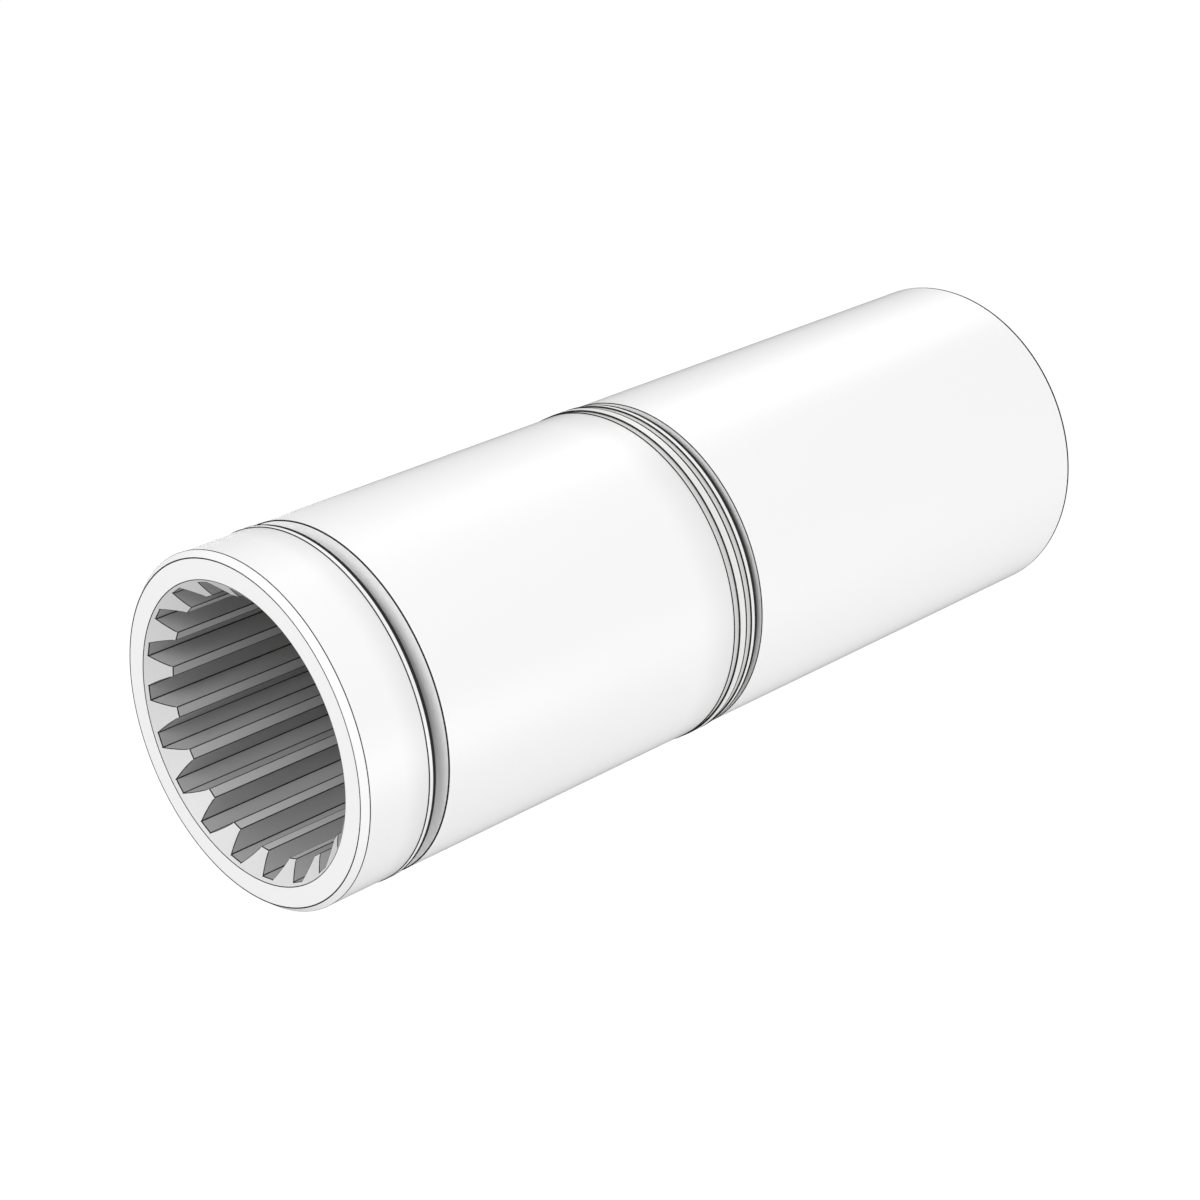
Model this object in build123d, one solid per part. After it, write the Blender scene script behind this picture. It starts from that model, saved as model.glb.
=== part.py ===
from build123d import *
import os
from math import acos, cos, pi, radians, sin, tan

# A splined sleeve: a two-part tube that slides along a splined shaft and carries seal rings.
# Sizes are in millimetres. The sleeve lies along Y, with the origin on its axis in the plane of
# the front (splined) end face. +Y runs to the rear end and +Z is up, through a tooth space.

# Involute spline in the front bore
TOOTH_COUNT = 19
MODULE = 2.117                  # twelve teeth to the inch of pitch diameter
PRESSURE_ANGLE = 30.0
SPACE_WIDTH = 3.9               # width of a tooth space on the pitch circle
SPLINE_LENGTH = 62.0            # front end face to the end of the run-out
FLANK_POINTS = 5
MOUTH_LAND = 0.5                # how far the mouth cone opens beyond the tooth roots

# Walls, from the bore outwards
BORE_RELIEF = 0.2               # the bore behind the spline clears the tooth roots
SPIGOT_WALL = 1.6               # front sleeve under the seal set and inside the joint
SOCKET_WALL = 2.66              # rear sleeve around the joint

# Lengths along the sleeve, front to rear
FRONT_LAND = 11.0
FRONT_GROOVE_WIDTH = 3.6
MIDDLE_LAND = 55.4
SPIGOT_LENGTH = 20.0            # part of the front sleeve that enters the rear one
WEB_LENGTH = 12.0               # rear sleeve between the joint and the shaft seal
WEB_LIP = 4.0                   # inward lip that the shaft seal sits against
WEB_LIP_CLEARANCE = 0.8         # that lip over the tooth tips
REAR_RECESS = 5.26              # retaining ring to the rear end face

# Edges
FRONT_CHAMFER_RADIAL = 0.8
FRONT_CHAMFER_AXIAL = 0.95
EDGE_BREAK = 0.12
LEAD_CHAMFER = 0.8

# Front groove and the lock ring in it
FRONT_GROOVE_DEPTH = 2.8
FRONT_GROOVE_FILLET = 0.5
LOCK_RING_WIDTH = 1.25
LOCK_RING_PROUD = 0.12
LOCK_RING_GAP = 4.0
LOCK_RING_SPLIT = 225.0         # angle of the gap, from +X towards +Z

# Seal set in the middle groove, front to rear
BACKUP_WIDTH = 1.08
BACKUP_PROUD = 0.14
BACKUP_TAPER = 0.22             # fall of the outer face from front to rear
BACKUP_CUT = 0.4
FRONT_BACKUP_SPLIT = 205.0
REAR_BACKUP_SPLIT = 245.0
SEAL_WIDTH = 1.42
SEAL_PROUD = 0.19
SEAL_THICKNESS = 1.45
GUIDE_WIDTH = 1.17
GUIDE_PROUD = 0.17
GUIDE_TAPER = 0.12
GUIDE_CUT = 1.2
GUIDE_SPLIT = 225.0
SCARF_ANGLE = 30.0              # slant of the cut through a split ring
SET_FLOAT = 1.2                 # open gap behind the seal set

# Seal of the joint between the two sleeves
JOINT_SEAL_SECTION = 1.4
JOINT_SEAL_OFFSET = 4.0         # socket mouth to the seal groove
JOINT_GROOVE_PLAY = 0.3         # groove width beyond the two rings
JOINT_BACKUP_WIDTH = 1.0

# Pieces around the shaft, in the rear sleeve
SHAFT_STEP = 0.553              # the shaft's plain end below the tooth tips
BUSH_WALL = 3.97
BUSH_LENGTH = 27.0
BUSH_CHAMFER = 0.6
SHAFT_SEAL_WIDTH = 5.0
SHAFT_SEAL_LIP = 1.2            # thickness of each lip
SHAFT_SEAL_SLOT = 3.0           # depth of the slot between the lips
SHAFT_BACKUP_WIDTH = 2.0
SHAFT_BACKUP_CLEARANCE = 0.3    # backup ring over the shaft
WASHER_WIDTH = 1.0
WASHER_CLEARANCE = 0.5          # washer over the shaft
RETAINER_WIDTH = 1.75
RETAINER_GROOVE_DEPTH = 1.25
RETAINER_BAND = 2.8             # radial width of the ring
RETAINER_HOLE = 0.7             # radius of the pull hole at each end
RETAINER_HOLE_ANGLE = 9.0       # each hole from the middle of the gap
RETAINER_GAP_ANGLE = 5.0        # half of the open gap

# Clearances
RUNNING = 0.05                  # ring bore over a groove floor
SIDE_PLAY = 0.02                # ring against a wall or another ring
SEAT = 0.03                     # fixed pieces in their seats
LIP_CLEARANCE = 0.02            # shaft seal over the shaft

# Spline radii
pitch_radius = TOOTH_COUNT * MODULE / 2
base_radius = pitch_radius * cos(radians(PRESSURE_ANGLE))
tip_radius = (TOOTH_COUNT - 1) * MODULE / 2
root_radius = (TOOTH_COUNT + 1.35) * MODULE / 2

# Sleeve and shaft radii
mouth_radius = root_radius + MOUTH_LAND
relief_radius = root_radius + BORE_RELIEF
spigot_radius = relief_radius + SPIGOT_WALL
socket_radius = spigot_radius + SEAT
sleeve_radius = spigot_radius + SOCKET_WALL
front_floor = sleeve_radius - FRONT_GROOVE_DEPTH
joint_floor = spigot_radius + JOINT_SEAL_SECTION
shaft_radius = tip_radius - SHAFT_STEP
lip_radius = shaft_radius + LIP_CLEARANCE
bush_radius = shaft_radius + BUSH_WALL
bush_seat = bush_radius + SEAT
retainer_floor = bush_seat + RETAINER_GROOVE_DEPTH
retainer_radius = retainer_floor - SEAT

# Places along the sleeve
front_groove_end = FRONT_LAND + FRONT_GROOVE_WIDTH
shoulder = front_groove_end + MIDDLE_LAND
front_backup_start = shoulder + SIDE_PLAY
seal_start = front_backup_start + BACKUP_WIDTH
rear_backup_start = seal_start + SEAL_WIDTH
guide_start = rear_backup_start + BACKUP_WIDTH
joint_face = guide_start + GUIDE_WIDTH + SET_FLOAT
joint_groove_start = joint_face + JOINT_SEAL_OFFSET
joint_groove_end = joint_groove_start + JOINT_SEAL_SECTION + JOINT_BACKUP_WIDTH + JOINT_GROOVE_PLAY
spigot_end = joint_face + SPIGOT_LENGTH
seal_seat = spigot_end + WEB_LENGTH
shaft_backup_start = seal_seat + SHAFT_SEAL_WIDTH
bush_start = shaft_backup_start + SHAFT_BACKUP_WIDTH
bush_end = bush_start + BUSH_LENGTH
retainer_start = bush_end + WASHER_WIDTH
retainer_groove_end = retainer_start + RETAINER_WIDTH + SIDE_PLAY
sleeve_length = retainer_groove_end + REAR_RECESS


def turned(*points):
    """A turned solid: an outline of (radius, place along Y) points, revolved about the axis."""
    return revolve(make_face(Polyline(*points, close=True)), axis=Axis.Y)


def plain_ring(inner, outer, start, end):
    """A ring of rectangular section."""
    return turned((inner, start), (outer, start), (outer, end), (inner, end))


def squeezed_ring(inner, outer, start, end):
    """A rubber ring pressed flat on four sides, with bevels between them."""
    ring = plain_ring(inner, outer, start, end)
    return chamfer(ring.edges().filter_by(GeomType.CIRCLE), min(outer - inner, end - start) / 3.5)


def split(ring, width, angle, slant=0.0):
    """Cuts a ring open at one place. The cut leans along the sleeve by the slant angle."""
    box = ring.bounding_box()
    reach = sleeve_radius + LEAD_CHAMFER
    slot = Pos(reach / 2, 0, 0) * Rot(slant, 0, 0) * Box(reach, 4 * box.size.Y, width)
    return ring - Pos(0, box.center().Y, 0) * Rot(0, -angle, 0) * slot


def involute(angle):
    return tan(angle) - angle


def space_half_angle(radius):
    """Half of the angle that a tooth space takes up at a radius."""
    at_pitch = SPACE_WIDTH / (2 * pitch_radius)
    return at_pitch + involute(radians(PRESSURE_ANGLE)) - involute(acos(base_radius / radius))


def polar(radius, angle):
    return (radius * cos(angle), radius * sin(angle))


def spline_bore(length):
    """The spline's open section, with a tooth space centred on +Z, as a long prism."""
    step = (root_radius - tip_radius) / (FLANK_POINTS - 1)
    radii = [tip_radius + step * i for i in range(FLANK_POINTS)]
    pitch_angle = 2 * pi / TOOTH_COUNT
    edges = []
    for tooth in range(TOOTH_COUNT):
        centre = pi / 2 + tooth * pitch_angle
        next_tip = centre + pitch_angle / 2
        next_start = centre + pitch_angle - space_half_angle(tip_radius)
        rising = [polar(r, centre - space_half_angle(r)) for r in radii]
        falling = [polar(r, centre + space_half_angle(r)) for r in reversed(radii)]
        edges.append(Spline(*rising))
        edges.append(ThreePointArc(rising[-1], polar(root_radius, centre), falling[0]))
        edges.append(Spline(*falling))
        edges.append(ThreePointArc(falling[-1], polar(tip_radius, next_tip), polar(tip_radius, next_start)))
    return extrude(Plane.XZ * make_face(Wire(edges)), amount=-length)


def front_sleeve():
    """Splined front half, with the lock ring's groove, the seal set's shoulder and the spigot."""
    core = tip_radius / 2
    run_out = SPLINE_LENGTH - (relief_radius - tip_radius)
    body = turned(
        (core, 0),
        (sleeve_radius - FRONT_CHAMFER_RADIAL, 0),
        (sleeve_radius, FRONT_CHAMFER_AXIAL),
        (sleeve_radius, shoulder),
        (spigot_radius, shoulder),
        (spigot_radius, spigot_end - LEAD_CHAMFER),
        (spigot_radius - LEAD_CHAMFER, spigot_end),
        (relief_radius, spigot_end),
        (relief_radius, SPLINE_LENGTH),
        (tip_radius, run_out),
        (core, run_out),
    )
    body -= spline_bore(SPLINE_LENGTH)

    # The mouth cone is at 45 degrees, from beyond the roots down to inside the tips.
    overcut = 1.0
    cone_depth = mouth_radius - tip_radius + overcut
    body -= turned((0, -overcut), (mouth_radius + overcut, -overcut),
                   (tip_radius - overcut, cone_depth), (0, cone_depth))

    groove = plain_ring(front_floor, sleeve_radius + overcut, FRONT_LAND, front_groove_end)
    floor_edges = groove.edges().filter_by(GeomType.CIRCLE).sort_by(SortBy.RADIUS)[:2]
    return body - fillet(floor_edges, FRONT_GROOVE_FILLET)


def rear_sleeve():
    """Plain rear half, with the socket for the spigot and the seats around the shaft."""
    lip_start = seal_seat - WEB_LIP
    web_lip_radius = tip_radius + WEB_LIP_CLEARANCE
    body = turned(
        (socket_radius + EDGE_BREAK, joint_face),
        (sleeve_radius - EDGE_BREAK, joint_face),
        (sleeve_radius, joint_face + EDGE_BREAK),
        (sleeve_radius, sleeve_length - EDGE_BREAK),
        (sleeve_radius - EDGE_BREAK, sleeve_length),
        (bush_seat + LEAD_CHAMFER, sleeve_length),
        (bush_seat, sleeve_length - LEAD_CHAMFER),
        (bush_seat, retainer_groove_end),
        (retainer_floor, retainer_groove_end),
        (retainer_floor, retainer_start),
        (bush_seat, retainer_start),
        (bush_seat, seal_seat),
        (web_lip_radius, seal_seat),
        (web_lip_radius, lip_start),
        (relief_radius, lip_start),
        (relief_radius, spigot_end),
        (socket_radius, spigot_end),
        (socket_radius, joint_face + EDGE_BREAK),
    )
    return body - plain_ring(relief_radius, joint_floor, joint_groove_start, joint_groove_end)


def lock_ring():
    """Split ring that floats in the front groove, resting on the groove's front wall."""
    start = FRONT_LAND + SIDE_PLAY
    end = start + LOCK_RING_WIDTH
    outer = sleeve_radius + LOCK_RING_PROUD
    inner = front_floor + FRONT_GROOVE_FILLET
    ring = turned(
        (inner, start),
        (outer - EDGE_BREAK, start),
        (outer, start + EDGE_BREAK),
        (outer, end - EDGE_BREAK),
        (outer - EDGE_BREAK, end),
        (inner, end),
    )
    return split(ring, LOCK_RING_GAP, LOCK_RING_SPLIT)


def tapered_ring(start, width, proud, taper):
    """Ring on the spigot whose outer face falls from front to rear."""
    inner = spigot_radius + RUNNING
    outer = sleeve_radius + proud
    return turned((inner, start), (outer, start), (outer - taper, start + width), (inner, start + width))


def backup_ring(start, angle):
    """Scarf-cut ring that keeps the seal ring from creeping into the gap beside it."""
    ring = tapered_ring(start, BACKUP_WIDTH, BACKUP_PROUD, BACKUP_TAPER)
    return split(ring, BACKUP_CUT, angle, SCARF_ANGLE)


def guide_ring():
    """Scarf-cut ring that keeps the sleeve central in its cylinder."""
    ring = tapered_ring(guide_start, GUIDE_WIDTH, GUIDE_PROUD, GUIDE_TAPER)
    return split(ring, GUIDE_CUT, GUIDE_SPLIT, SCARF_ANGLE)


def seal_ring():
    """Endless slipper ring that the expander presses outwards."""
    outer = sleeve_radius + SEAL_PROUD
    ring = plain_ring(outer - SEAL_THICKNESS, outer, seal_start, rear_backup_start)
    crown_edges = ring.edges().filter_by(GeomType.CIRCLE).sort_by(SortBy.RADIUS)[-2:]
    return chamfer(crown_edges, EDGE_BREAK / 2)


def seal_expander():
    """Squeezed rubber ring between the spigot and the seal ring."""
    inner = spigot_radius + SIDE_PLAY
    outer = sleeve_radius + SEAL_PROUD - SEAL_THICKNESS - SIDE_PLAY
    return squeezed_ring(inner, outer, seal_start + SIDE_PLAY, rear_backup_start - SIDE_PLAY)


def joint_seal():
    """Rubber ring squeezed between the spigot and its groove in the socket."""
    end = joint_groove_start + SIDE_PLAY + JOINT_SEAL_SECTION
    return squeezed_ring(spigot_radius + SIDE_PLAY, joint_floor - SIDE_PLAY,
                         joint_groove_start + SIDE_PLAY, end)


def joint_backup_ring():
    """Stiff flat ring behind the joint's seal, against the groove's rear wall."""
    end = joint_groove_end - SIDE_PLAY
    return plain_ring(spigot_radius + SIDE_PLAY, joint_floor - SIDE_PLAY, end - JOINT_BACKUP_WIDTH, end)


def shaft_seal():
    """Lip seal round the shaft, open to the front, seated on the rear sleeve's inner lip."""
    slot_end = seal_seat + SHAFT_SEAL_SLOT
    bevel = SHAFT_SEAL_LIP / 3
    return turned(
        (lip_radius, seal_seat),
        (lip_radius + SHAFT_SEAL_LIP, seal_seat),
        (lip_radius + SHAFT_SEAL_LIP, slot_end - bevel),
        (lip_radius + SHAFT_SEAL_LIP + bevel, slot_end),
        (bush_radius - SHAFT_SEAL_LIP - bevel, slot_end),
        (bush_radius - SHAFT_SEAL_LIP, slot_end - bevel),
        (bush_radius - SHAFT_SEAL_LIP, seal_seat),
        (bush_radius, seal_seat),
        (bush_radius, shaft_backup_start),
        (lip_radius, shaft_backup_start),
    )


def shaft_seal_expander():
    """Rubber ring that spreads the shaft seal's lips, at the bottom of the slot between them."""
    inner = lip_radius + SHAFT_SEAL_LIP + SIDE_PLAY
    outer = bush_radius - SHAFT_SEAL_LIP - SIDE_PLAY
    end = seal_seat + SHAFT_SEAL_SLOT - SIDE_PLAY
    return squeezed_ring(inner, outer, end - (outer - inner), end)


def shaft_backup_ring():
    """Flat ring that holds the shaft seal's heel square against the bush."""
    return plain_ring(shaft_radius + SHAFT_BACKUP_CLEARANCE, bush_radius, shaft_backup_start, bush_start)


def shaft_bush():
    """Plain guide bush, bevelled inside and out at both ends."""
    return turned(
        (shaft_radius + BUSH_CHAMFER, bush_start),
        (bush_radius - BUSH_CHAMFER, bush_start),
        (bush_radius, bush_start + BUSH_CHAMFER),
        (bush_radius, bush_end - BUSH_CHAMFER),
        (bush_radius - BUSH_CHAMFER, bush_end),
        (shaft_radius + BUSH_CHAMFER, bush_end),
        (shaft_radius, bush_end - BUSH_CHAMFER),
        (shaft_radius, bush_start + BUSH_CHAMFER),
    )


def support_washer():
    """Flat washer that spreads the retaining ring's load over the bush."""
    return plain_ring(shaft_radius + WASHER_CLEARANCE, bush_radius, bush_end, retainer_start)


def retaining_ring():
    """Sprung ring in the rear sleeve's inner groove, with a pull hole at each side of its gap."""
    inner = retainer_radius - RETAINER_BAND
    reach = 2 * retainer_radius
    gap = radians(RETAINER_GAP_ANGLE)
    section = Circle(retainer_radius) - Circle(inner)
    section -= make_face(Polyline((0, 0), (-reach * sin(gap), reach * cos(gap)),
                                  (reach * sin(gap), reach * cos(gap)), close=True))
    for side in (-1, 1):
        place = Rot(0, 0, 90 + side * RETAINER_HOLE_ANGLE) * Pos(inner + RETAINER_BAND / 2, 0)
        section -= place * Circle(RETAINER_HOLE)
    return Pos(0, retainer_start, 0) * extrude(Plane.XZ * section, amount=-RETAINER_WIDTH)


pieces = {
    "front_sleeve": front_sleeve(),
    "rear_sleeve": rear_sleeve(),
    "lock_ring": lock_ring(),
    "front_backup_ring": backup_ring(front_backup_start, FRONT_BACKUP_SPLIT),
    "seal_ring": seal_ring(),
    "seal_expander": seal_expander(),
    "rear_backup_ring": backup_ring(rear_backup_start, REAR_BACKUP_SPLIT),
    "guide_ring": guide_ring(),
    "joint_seal": joint_seal(),
    "joint_backup_ring": joint_backup_ring(),
    "shaft_seal": shaft_seal(),
    "shaft_seal_expander": shaft_seal_expander(),
    "shaft_backup_ring": shaft_backup_ring(),
    "shaft_bush": shaft_bush(),
    "support_washer": support_washer(),
    "retaining_ring": retaining_ring(),
}

os.makedirs("parts", exist_ok=True)
for name, solid in pieces.items():
    export_step(solid, f"parts/{name}.step")

print(f"outer radius {sleeve_radius:.3f}, length {sleeve_length:.3f}")
print(f"tooth tips {tip_radius:.3f}, roots {root_radius:.3f}, bush bore {shaft_radius:.3f}")
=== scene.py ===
"""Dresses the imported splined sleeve: finishes, fine edges and a plain pale stage."""

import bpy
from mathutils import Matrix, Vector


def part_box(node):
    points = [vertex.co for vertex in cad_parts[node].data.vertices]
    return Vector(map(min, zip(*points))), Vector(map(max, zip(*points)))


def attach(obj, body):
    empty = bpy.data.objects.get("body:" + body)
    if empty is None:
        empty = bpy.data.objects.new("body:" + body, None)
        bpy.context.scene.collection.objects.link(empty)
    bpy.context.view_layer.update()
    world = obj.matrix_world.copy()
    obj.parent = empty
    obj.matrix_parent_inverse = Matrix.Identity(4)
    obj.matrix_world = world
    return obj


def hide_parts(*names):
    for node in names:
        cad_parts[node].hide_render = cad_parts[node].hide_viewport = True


bl_info = {
    "name": "Splined sleeve",
    "version": (1, 0, 0),
    "blender": (4, 5, 0),
    "location": "3D View > Sidebar > Splined sleeve",
    "description": "Builds the pieces of a splined sleeve with seal rings, and its stage",
    "category": "Object",
}

from math import acos, cos, hypot, pi, radians, sin, sqrt, tan

import bmesh
import bpy
from bpy.props import FloatProperty, FloatVectorProperty, IntProperty, PointerProperty
from mathutils import Matrix, Vector

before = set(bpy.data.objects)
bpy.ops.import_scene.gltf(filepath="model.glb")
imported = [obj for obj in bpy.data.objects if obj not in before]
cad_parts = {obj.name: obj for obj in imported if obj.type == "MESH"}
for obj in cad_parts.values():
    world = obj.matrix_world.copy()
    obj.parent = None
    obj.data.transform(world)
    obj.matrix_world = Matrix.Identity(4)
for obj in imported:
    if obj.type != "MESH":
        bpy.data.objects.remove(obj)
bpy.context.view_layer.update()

MM = 0.001

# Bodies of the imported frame
SLEEVE = "sleeve"
LOCK_RING = "lock_ring"
SEAL_SET = "seal_set"

# The share of a split ring on each side of its cut in which the cut's slant fades out
CUT_REACH = 0.05

# Facets across half of the bottom of a tooth space
ROOT_STEPS = 3

# The largest share of an edge that a dark line takes up from one end
LINE_SHARE = 0.48

# Points closer than this are one, on a piece and between two tooth pitches
PIECE_MERGE = 0.0002 * MM
PITCH_MERGE = 0.0005 * MM

# Faces that meet at more than this are shaded with a sharp edge
SHARP_ANGLE = radians(28.0)

# Finishes, in the order of their materials on a piece. TOOTH stands for a tooth column's own
OUTER, LINE, GROOVE, BORE, MOUTH, FLANK, LAND, JOINT, SEAT, TOOTH = range(10)


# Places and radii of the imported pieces

def start_of(node):
    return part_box(node)[0].y


def end_of(node):
    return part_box(node)[1].y


def distances_from_axis(node):
    return [hypot(vertex.co.x, vertex.co.z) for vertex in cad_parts[node].data.vertices]


def inner_of(node):
    return min(distances_from_axis(node))


def outer_of(node):
    return max(distances_from_axis(node))


def measures_of(node):
    """A ring's inner and outer radius and the places of its front and rear ends."""
    return inner_of(node), outer_of(node), start_of(node), end_of(node)


def outer_of_sleeve():
    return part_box("rear_sleeve")[1].x


# Sizes and colours that a user would change

class SplineSizes(bpy.types.PropertyGroup):
    """The internal spline and the cone at its mouth."""

    tooth_count: IntProperty(
        name="Teeth", description="Teeth of the internal spline", default=19, min=6)
    pitch_radius: FloatProperty(
        name="Pitch radius", description="Radius of the spline's pitch circle",
        default=20.1115 * MM, unit="LENGTH")
    root_radius: FloatProperty(
        name="Root radius", description="Radius at the bottom of the tooth spaces",
        default=21.54 * MM, unit="LENGTH")
    space_width: FloatProperty(
        name="Space width", description="Width of a tooth space on the pitch circle",
        default=3.9 * MM, unit="LENGTH")
    pressure_angle: FloatProperty(
        name="Pressure angle", description="Pressure angle of the involute flanks",
        default=radians(30.0), unit="ROTATION")
    spline_end: FloatProperty(
        name="Spline end", description="Front face to the end of the spline's run-out",
        default=62.0 * MM, unit="LENGTH")
    mouth_land: FloatProperty(
        name="Mouth land", description="How far the mouth cone opens beyond the tooth roots",
        default=0.5 * MM, unit="LENGTH")
    bore_relief: FloatProperty(
        name="Bore relief", description="The bore behind the spline, beyond the tooth roots",
        default=0.2 * MM, unit="LENGTH")
    line_width: FloatProperty(
        name="Edge line", description="Half the width of the dark line along a tooth's edge",
        default=0.1 * MM, unit="LENGTH")
    flank_steps: IntProperty(
        name="Flank steps", description="Facets across a flank", default=6, min=2)


class SleeveSizes(bpy.types.PropertyGroup):
    """The two sleeves, where their boxes don't give a size."""

    spigot_wall: FloatProperty(
        name="Spigot wall", description="Wall of the front sleeve under the seal set",
        default=1.6 * MM, unit="LENGTH")
    chamfer_radial: FloatProperty(
        name="Front chamfer, radial", description="Radial size of the front outer chamfer",
        default=0.8 * MM, unit="LENGTH")
    chamfer_axial: FloatProperty(
        name="Front chamfer, axial", description="Size of the front outer chamfer along the sleeve",
        default=0.95 * MM, unit="LENGTH")
    groove_width: FloatProperty(
        name="Groove width", description="Width of the front groove",
        default=3.6 * MM, unit="LENGTH")
    groove_depth: FloatProperty(
        name="Groove depth", description="Depth of the front groove",
        default=2.8 * MM, unit="LENGTH")
    groove_fillet: FloatProperty(
        name="Groove fillet", description="Rounding at the bottom of the front groove",
        default=0.5 * MM, unit="LENGTH")
    lead_chamfer: FloatProperty(
        name="Lead chamfer", description="Chamfer at the spigot's end and at the rear bore's mouth",
        default=0.8 * MM, unit="LENGTH")
    web_lip: FloatProperty(
        name="Web lip", description="Length of the inner lip that the shaft seal sits against",
        default=4.0 * MM, unit="LENGTH")
    edge_break: FloatProperty(
        name="Edge break", description="Small bevel on outer edges",
        default=0.12 * MM, unit="LENGTH")
    side_play: FloatProperty(
        name="Side play", description="Gap between a ring and what it lies against",
        default=0.02 * MM, unit="LENGTH")
    seat: FloatProperty(
        name="Seat", description="Gap round a fixed piece in its seat",
        default=0.03 * MM, unit="LENGTH")
    line_width: FloatProperty(
        name="Edge line", description="Half the width of the dark line along an outer edge",
        default=0.08 * MM, unit="LENGTH")
    front_line: FloatProperty(
        name="Front line", description="Width of the dark line round the front end face",
        default=0.2 * MM, unit="LENGTH")
    groove_line: FloatProperty(
        name="Groove line", description="Half the width of the dark line on the groove's rear edge",
        default=0.17 * MM, unit="LENGTH")
    rear_line: FloatProperty(
        name="Rear line", description="Width of the dark line round the rear end",
        default=0.33 * MM, unit="LENGTH")
    segments: IntProperty(
        name="Segments", description="Facets round a turned piece", default=384, min=64)


class RingSizes(bpy.types.PropertyGroup):
    """The split rings, where their boxes don't give a size."""

    split_angle: FloatProperty(
        name="Split angle", description="Place of the lock ring's gap and the guide ring's cut",
        default=radians(225.0), unit="ROTATION")
    split_spread: FloatProperty(
        name="Split spread", description="Turn of each backup ring's cut away from that place",
        default=radians(20.0), unit="ROTATION")
    scarf_angle: FloatProperty(
        name="Scarf angle", description="Slant of the cut through a split ring",
        default=radians(30.0), unit="ROTATION")
    lock_gap: FloatProperty(
        name="Lock ring gap", description="Width of the gap in the lock ring",
        default=4.0 * MM, unit="LENGTH")
    backup_cut: FloatProperty(
        name="Backup ring cut", description="Width of the cut through a backup ring",
        default=0.4 * MM, unit="LENGTH")
    backup_taper: FloatProperty(
        name="Backup taper", description="Fall of a backup ring's outer face",
        default=0.22 * MM, unit="LENGTH")
    guide_cut: FloatProperty(
        name="Guide ring cut", description="Width of the cut through the guide ring",
        default=1.2 * MM, unit="LENGTH")
    guide_taper: FloatProperty(
        name="Guide taper", description="Fall of the guide ring's outer face",
        default=0.12 * MM, unit="LENGTH")
    line_width: FloatProperty(
        name="Edge line", description="Half the width of the dark line between two rings",
        default=0.085 * MM, unit="LENGTH")
    step_line: FloatProperty(
        name="Step line", description="Height of the dark face where a ring stands over the one before",
        default=0.3 * MM, unit="LENGTH")
    seal_line: FloatProperty(
        name="Seal line", description="Width of the dark line along the seal ring's rear edge",
        default=0.2 * MM, unit="LENGTH")
    # The bold line is partly a drawn edge line and partly painted shade of the crevice behind a ring
    bold_line_and_shade: FloatProperty(
        name="Bold line", description="Width of the dark line along the rear edge of a ring",
        default=0.52 * MM, unit="LENGTH")
    bush_chamfer: FloatProperty(
        name="Bush chamfer", description="Bevel at the ends of the shaft bush",
        default=0.6 * MM, unit="LENGTH")


class FinishColours(bpy.types.PropertyGroup):
    """Base colours of the finishes."""

    outer: FloatVectorProperty(
        name="Outer faces", description="White coat on the outer faces", subtype="COLOR",
        default=(0.975, 0.975, 0.975))
    # This dark also makes the wide lines behind the lock ring and the guide ring, which are partly
    # painted shade
    line: FloatVectorProperty(
        name="Edge line", description="Bare dark metal along the edges", subtype="COLOR",
        default=(0.03, 0.03, 0.03))
    groove: FloatVectorProperty(
        name="Groove", description="Floors and walls of the ring grooves", subtype="COLOR",
        default=(0.55, 0.55, 0.55))
    # Mouth, flanks and lands are one steel; their greys, flanks darker than lands, are partly painted
    # shade of the bore
    mouth: FloatVectorProperty(
        name="Mouth", description="Cone at the bore's mouth", subtype="COLOR",
        default=(0.72, 0.72, 0.72))
    flank: FloatVectorProperty(
        name="Flanks", description="Flanks and roots of the teeth", subtype="COLOR",
        default=(0.46, 0.46, 0.46))
    land: FloatVectorProperty(
        name="Lands", description="Lands on the tips of the teeth", subtype="COLOR",
        default=(0.66, 0.66, 0.66))
    lock_ring: FloatVectorProperty(
        name="Lock ring", description="Ground face of the lock ring", subtype="COLOR",
        default=(0.89, 0.89, 0.89))
    backup: FloatVectorProperty(
        name="Backup rings", description="Hard plastic of the backup rings", subtype="COLOR",
        default=(0.71, 0.71, 0.70))
    seal: FloatVectorProperty(
        name="Seal ring", description="Plastic of the seal ring", subtype="COLOR",
        default=(0.82, 0.82, 0.81))
    guide: FloatVectorProperty(
        name="Guide ring", description="Plastic of the guide ring", subtype="COLOR",
        default=(0.88, 0.88, 0.87))
    rubber: FloatVectorProperty(
        name="Rubber", description="Black rubber of the hidden rings", subtype="COLOR",
        default=(0.03, 0.03, 0.03))
    bronze: FloatVectorProperty(
        name="Bronze", description="Bronze of the shaft bush", subtype="COLOR",
        default=(0.58, 0.42, 0.24))


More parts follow.
